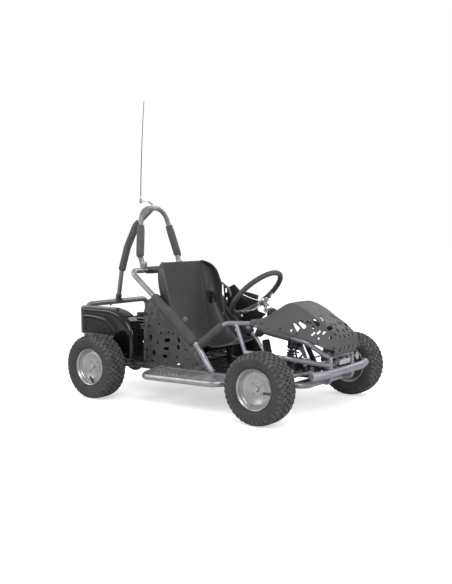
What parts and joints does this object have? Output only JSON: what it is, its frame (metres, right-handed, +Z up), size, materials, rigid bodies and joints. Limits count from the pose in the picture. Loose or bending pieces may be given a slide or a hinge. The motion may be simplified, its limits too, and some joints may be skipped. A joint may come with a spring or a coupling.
{
  "type": "off road go kart",
  "caption": "Single-seat off road go kart with tube frame, roll bar, bucket seat, perforated hood and side panels, coil-over front suspension and knobby tyres",
  "frame": {"origin": "on the ground under the middle of the overall length and width", "axes": "X forward, Y to the driver's left, Z up"},
  "size_m": [1.505, 0.99, 1.5722],
  "materials": {
    "frame_dark": "satin powder coat",
    "frame_silver": "satin silver paint",
    "foam": "closed cell foam, matt",
    "moulded_plastic": "fine grained",
    "gloss_black": "gloss black",
    "black_steel": "black paint",
    "tyre_rubber": "knobby, matt",
    "bright_steel": "bare or silver painted metal",
    "chrome": "bright plated",
    "cast_metal": "cast, dark painted",
    "webbing": "woven belt"
  },
  "bodies": {
    "frame": {"lower_frame": "frame_dark", "rear_hoop": "frame_dark", "seat_hoop": "frame_dark", "front_loop": "frame_silver", "roll_bar": "frame_dark", "roll_pad_right": "foam", "roll_pad_left": "foam", "roll_pad_rear": "foam", "side_pad_rear_right": "foam", "side_pad_rear_left": "foam", "side_pad_front_right": "foam", "side_pad_front_left": "foam", "antenna": "black_steel", "running_board_right": "bright_steel", "running_board_left": "bright_steel", "floor_pan": "black_steel", "front_tower": "black_steel", "seat_shell": "moulded_plastic", "lap_belt": "webbing", "side_panel_right": "moulded_plastic", "side_panel_left": "moulded_plastic", "hood": "moulded_plastic", "front_bumper": "frame_silver", "rear_cowl_right": "gloss_black", "rear_cowl_left": "gloss_black", "engine_block": "cast_metal", "fuel_tank": "moulded_plastic", "muffler": "black_steel", "chain": "frame_silver", "brake_caliper": "cast_metal"},
    "steering": {"steering_wheel": "chrome", "steering_column": "frame_silver"},
    "rear_axle_set": {"rear_axle": "bright_steel", "axle_sprocket": "frame_silver", "brake_disc": "bright_steel", "rear_tyre_right": "tyre_rubber", "rear_rim_right": "bright_steel", "rear_tyre_left": "tyre_rubber", "rear_rim_left": "bright_steel"},
    "clutch": {"clutch_sprocket": "black_steel"},
    "throttle": {"throttle_pedal": "bright_steel"},
    "brake": {"brake_pedal": "bright_steel"},
    "starter_handle": {"recoil_handle": "black_steel"},
    "tank_cap": {"fuel_cap": "moulded_plastic"},
    "suspension_arm_right": {"arm_right": "black_steel"},
    "steering_knuckle_right": {"knuckle_right": "black_steel"},
    "track_rod_right": {"tie_rod_right": "bright_steel"},
    "front_wheel_right": {"front_tyre_right": "tyre_rubber", "front_rim_right": "bright_steel"},
    "shock_body_right": {"shock_upper_right": "black_steel", "spring_right": "black_steel"},
    "shock_shaft_right": {"shock_lower_right": "bright_steel"},
    "suspension_arm_left": {"arm_left": "black_steel"},
    "steering_knuckle_left": {"knuckle_left": "black_steel"},
    "track_rod_left": {"tie_rod_left": "bright_steel"},
    "front_wheel_left": {"front_tyre_left": "tyre_rubber", "front_rim_left": "bright_steel"},
    "shock_body_left": {"shock_upper_left": "black_steel", "spring_left": "black_steel"},
    "shock_shaft_left": {"shock_lower_left": "bright_steel"}
  },
  "joints": [
    {"name": "steer", "type": "hinge", "parent": "frame", "child": "steering", "pos_m": [0.226, 0, 0.548], "axis": [-0.7071, 0, 0.7071], "range_deg": [-35, 35]},
    {"name": "rear_axle_spin", "type": "hinge", "parent": "frame", "child": "rear_axle_set", "pos_m": [-0.48, 0, 0.165], "axis": [0, 1, 0], "continuous": true},
    {"name": "clutch_spin", "type": "hinge", "parent": "frame", "child": "clutch", "pos_m": [-0.36, -0.12, 0.245], "axis": [0, 1, 0], "continuous": true},
    {"name": "throttle_press", "type": "hinge", "parent": "frame", "child": "throttle", "pos_m": [0.402, -0.118, 0.192], "axis": [0, 1, 0], "range_deg": [0, 25], "stiffness_Nm_per_rad": 4, "springref_deg": -8.59},
    {"name": "brake_press", "type": "hinge", "parent": "frame", "child": "brake", "pos_m": [0.402, 0.118, 0.192], "axis": [0, 1, 0], "range_deg": [0, 25], "stiffness_Nm_per_rad": 8, "springref_deg": -8.59},
    {"name": "starter_pull", "type": "slide", "parent": "frame", "child": "starter_handle", "axis": [-0.995, 0, 0.0995], "range_m": [0, 0.3], "stiffness_N_per_m": 20, "springref_m": -0.1},
    {"name": "cap_turn", "type": "hinge", "parent": "frame", "child": "tank_cap", "pos_m": [-0.48, -0.085, 0.398], "axis": [0, 0, 1], "range_deg": [0, 90]},
    {"name": "arm_swing_right", "type": "hinge", "parent": "frame", "child": "suspension_arm_right", "pos_m": [0.54, -0.07, 0.192], "axis": [-1, 0, 0], "range_deg": [0, 8], "stiffness_Nm_per_rad": 400, "springref_deg": -17.19},
    {"name": "kingpin_right", "type": "hinge", "parent": "suspension_arm_right", "child": "steering_knuckle_right", "pos_m": [0.54, -0.345, 0.192], "axis": [0, 0, 1], "range_deg": [-26, 26]},
    {"name": "tie_end_right", "type": "hinge", "parent": "steering_knuckle_right", "child": "track_rod_right", "pos_m": [0.48, -0.345, 0.225], "axis": [0, 0, 1], "range_deg": [-26, 26]},
    {"name": "front_wheel_spin_right", "type": "hinge", "parent": "steering_knuckle_right", "child": "front_wheel_right", "pos_m": [0.54, -0.435, 0.165], "axis": [0, 1, 0], "continuous": true},
    {"name": "shock_tilt_right", "type": "hinge", "parent": "frame", "child": "shock_body_right", "pos_m": [0.56, -0.2, 0.326], "axis": [-1, 0, 0], "range_deg": [-2, 1]},
    {"name": "shock_stroke_right", "type": "slide", "parent": "shock_body_right", "child": "shock_shaft_right", "axis": [0, 0.1065, 0.9943], "range_m": [0, 0.021], "deforming": ["spring_right"]},
    {"name": "arm_swing_left", "type": "hinge", "parent": "frame", "child": "suspension_arm_left", "pos_m": [0.54, 0.07, 0.192], "axis": [1, 0, 0], "range_deg": [0, 8], "stiffness_Nm_per_rad": 400, "springref_deg": -17.19},
    {"name": "kingpin_left", "type": "hinge", "parent": "suspension_arm_left", "child": "steering_knuckle_left", "pos_m": [0.54, 0.345, 0.192], "axis": [0, 0, 1], "range_deg": [-26, 26]},
    {"name": "tie_end_left", "type": "hinge", "parent": "steering_knuckle_left", "child": "track_rod_left", "pos_m": [0.48, 0.345, 0.225], "axis": [0, 0, 1], "range_deg": [-26, 26]},
    {"name": "front_wheel_spin_left", "type": "hinge", "parent": "steering_knuckle_left", "child": "front_wheel_left", "pos_m": [0.54, 0.435, 0.165], "axis": [0, 1, 0], "continuous": true},
    {"name": "shock_tilt_left", "type": "hinge", "parent": "frame", "child": "shock_body_left", "pos_m": [0.56, 0.2, 0.326], "axis": [1, 0, 0], "range_deg": [-2, 1]},
    {"name": "shock_stroke_left", "type": "slide", "parent": "shock_body_left", "child": "shock_shaft_left", "axis": [0, -0.1065, 0.9943], "range_m": [0, 0.021], "deforming": ["spring_left"]}
  ],
  "couplings": [
    {"joint": "clutch_spin", "follows": "rear_axle_spin", "ratio": 2.7273},
    {"joint": "kingpin_right", "follows": "steer", "ratio": 0.71429},
    {"joint": "tie_end_right", "follows": "steer", "ratio": -0.71429},
    {"joint": "shock_tilt_right", "follows": "arm_swing_right", "ratio": -0.1804},
    {"joint": "shock_stroke_right", "follows": "arm_swing_right", "m_per_rad": 0.14239},
    {"joint": "kingpin_left", "follows": "steer", "ratio": 0.71429},
    {"joint": "tie_end_left", "follows": "steer", "ratio": -0.71429},
    {"joint": "shock_tilt_left", "follows": "arm_swing_left", "ratio": -0.1804},
    {"joint": "shock_stroke_left", "follows": "arm_swing_left", "m_per_rad": 0.14239}
  ]
}
